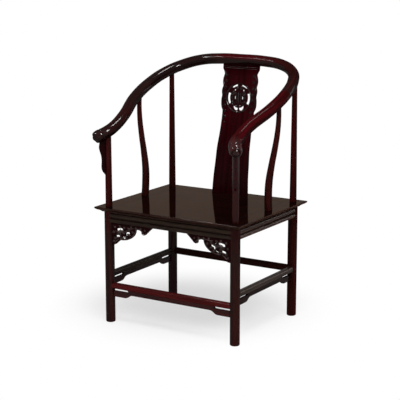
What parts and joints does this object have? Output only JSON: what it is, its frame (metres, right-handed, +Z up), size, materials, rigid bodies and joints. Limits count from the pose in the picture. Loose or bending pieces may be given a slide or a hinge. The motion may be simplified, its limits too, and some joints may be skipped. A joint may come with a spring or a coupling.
{
  "type": "armchair",
  "caption": "Wooden armchair with a horseshoe crest rail that runs down into the arms, a pierced splat, a framed seat and shaped stretchers.",
  "frame": {"origin": "on the floor, under the middle of the overall footprint", "axes": "+Z up, the front of the chair faces -Y, the chair's left side as seen from the front is at -X"},
  "size_m": [0.6648, 0.602, 1.0112],
  "materials": {
    "frame_wood": "dark red-brown hardwood under clear gloss lacquer",
    "seat_wood": "dark brown hardwood under polished gloss lacquer",
    "carved_wood": "dark red-brown carved hardwood under gloss lacquer",
    "crest_wood": "dark cherry-red hardwood under gloss lacquer"
  },
  "bodies": {
    "root": {"leg_front_left": "frame_wood", "leg_front_right": "frame_wood", "leg_back_left": "frame_wood", "leg_back_right": "frame_wood", "bead_rail_front": "frame_wood", "bead_rail_back": "frame_wood", "bead_rail_left": "frame_wood", "bead_rail_right": "frame_wood", "stretcher_front": "frame_wood", "stretcher_back": "frame_wood", "stretcher_left": "frame_wood", "stretcher_right": "frame_wood", "stretcher_apron_front": "frame_wood", "stretcher_apron_left": "frame_wood", "stretcher_apron_right": "frame_wood", "side_post_left": "frame_wood", "side_post_right": "frame_wood", "seat_rail_front": "seat_wood", "seat_rail_back": "seat_wood", "seat_rail_left": "seat_wood", "seat_rail_right": "seat_wood", "seat_panel": "seat_wood", "seat_batten_left": "seat_wood", "seat_batten_right": "seat_wood", "splat": "carved_wood", "spandrel_left": "carved_wood", "spandrel_right": "carved_wood", "grip_bracket_left": "carved_wood", "grip_bracket_right": "carved_wood", "crest_back": "crest_wood", "crest_arm_left": "crest_wood", "crest_arm_right": "crest_wood", "crest_peg_left": "crest_wood", "crest_peg_right": "crest_wood"}
  },
  "joints": []
}
